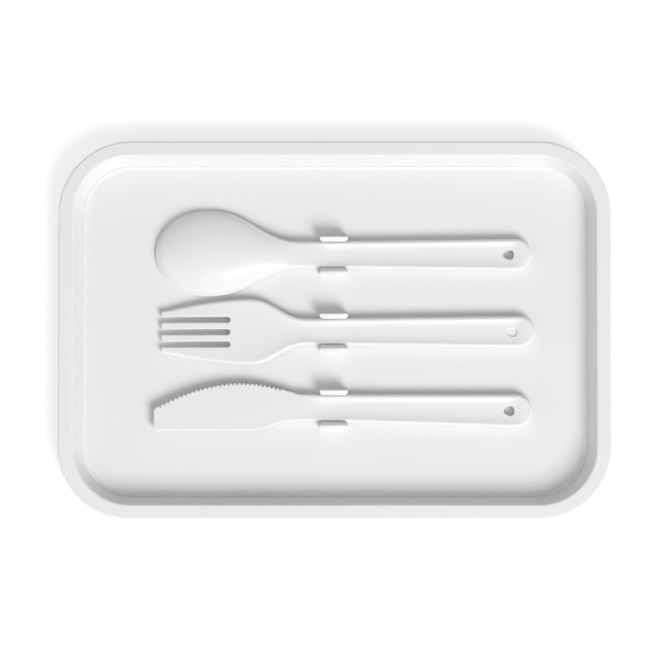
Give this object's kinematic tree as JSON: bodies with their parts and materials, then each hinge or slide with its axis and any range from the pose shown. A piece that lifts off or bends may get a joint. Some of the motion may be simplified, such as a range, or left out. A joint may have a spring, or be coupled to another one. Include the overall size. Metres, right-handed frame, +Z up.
{
  "type": "plastic cutlery pack",
  "caption": "Shallow round-cornered plastic tray with snap clips on its floor that hold a spoon, fork and knife, backs up.",
  "frame": {"origin": "middle of the tray's flat underside, on the surface it stands on", "axes": "+X along the tray towards the handle ends, +Y towards the spoon's side, +Z up out of the tray"},
  "size_m": [0.2014, 0.1382, 0.011],
  "materials": {
    "tray_plastic": "gloss",
    "spoon_plastic": "gloss",
    "fork_plastic": "gloss",
    "knife_plastic": "gloss"
  },
  "bodies": {
    "root": {"tray": "tray_plastic", "spoon": "spoon_plastic", "fork": "fork_plastic", "knife": "knife_plastic"}
  },
  "joints": []
}
